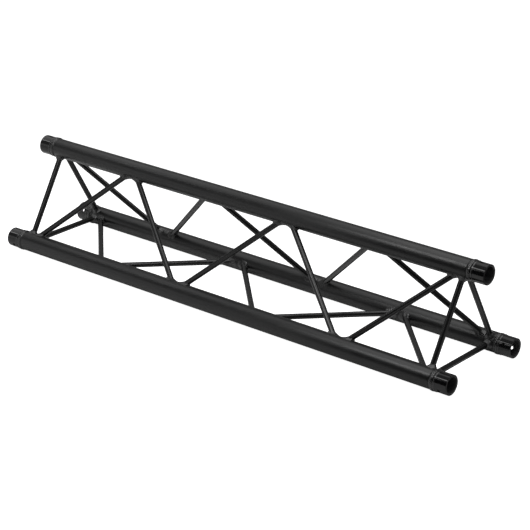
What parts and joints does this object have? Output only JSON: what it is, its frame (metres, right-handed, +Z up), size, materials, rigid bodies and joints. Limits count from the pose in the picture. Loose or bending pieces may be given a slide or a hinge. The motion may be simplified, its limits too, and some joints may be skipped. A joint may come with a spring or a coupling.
{
  "type": "lighting truss section",
  "caption": "Straight triangular lighting truss section: parallel chord tubes joined by welded struts and zigzag diagonals, with a bored receiver sleeve at each chord end.",
  "frame": {"origin": "on the floor under the middle of the section, which stands on its two lower chords", "axes": "+X along the chords, +Y across from the front chord to the back chord, +Z up through the top chord"},
  "size_m": [1, 0.2236, 0.1988],
  "materials": {
    "powder_coat": "matte black powder coat, fine grain",
    "turned_receiver": "gloss black coat on a turned surface",
    "weld": "satin black coat over rippled weld"
  },
  "bodies": {
    "root": {"top_chord": "powder_coat", "top_receiver_left": "turned_receiver", "top_seam_weld_left": "weld", "top_receiver_right": "turned_receiver", "top_seam_weld_right": "weld", "front_chord": "powder_coat", "front_receiver_left": "turned_receiver", "front_seam_weld_left": "weld", "front_receiver_right": "turned_receiver", "front_seam_weld_right": "weld", "back_chord": "powder_coat", "back_receiver_left": "turned_receiver", "back_seam_weld_left": "weld", "back_receiver_right": "turned_receiver", "back_seam_weld_right": "weld", "front_strut_left": "powder_coat", "front_strut_right": "powder_coat", "front_diagonal_1": "powder_coat", "front_diagonal_2": "powder_coat", "front_diagonal_3": "powder_coat", "front_diagonal_4": "powder_coat", "front_diagonal_5": "powder_coat", "back_strut_left": "powder_coat", "back_strut_right": "powder_coat", "back_diagonal_1": "powder_coat", "back_diagonal_2": "powder_coat", "back_diagonal_3": "powder_coat", "back_diagonal_4": "powder_coat", "back_diagonal_5": "powder_coat", "bottom_strut_left": "powder_coat", "bottom_strut_right": "powder_coat", "bottom_diagonal_1": "powder_coat", "bottom_diagonal_2": "powder_coat", "bottom_diagonal_3": "powder_coat", "bottom_diagonal_4": "powder_coat", "bottom_diagonal_5": "powder_coat", "top_chord_strut_welds": "weld", "top_chord_diagonal_welds": "weld", "front_chord_strut_welds": "weld", "front_chord_diagonal_welds": "weld", "back_chord_strut_welds": "weld", "back_chord_diagonal_welds": "weld"}
  },
  "joints": []
}
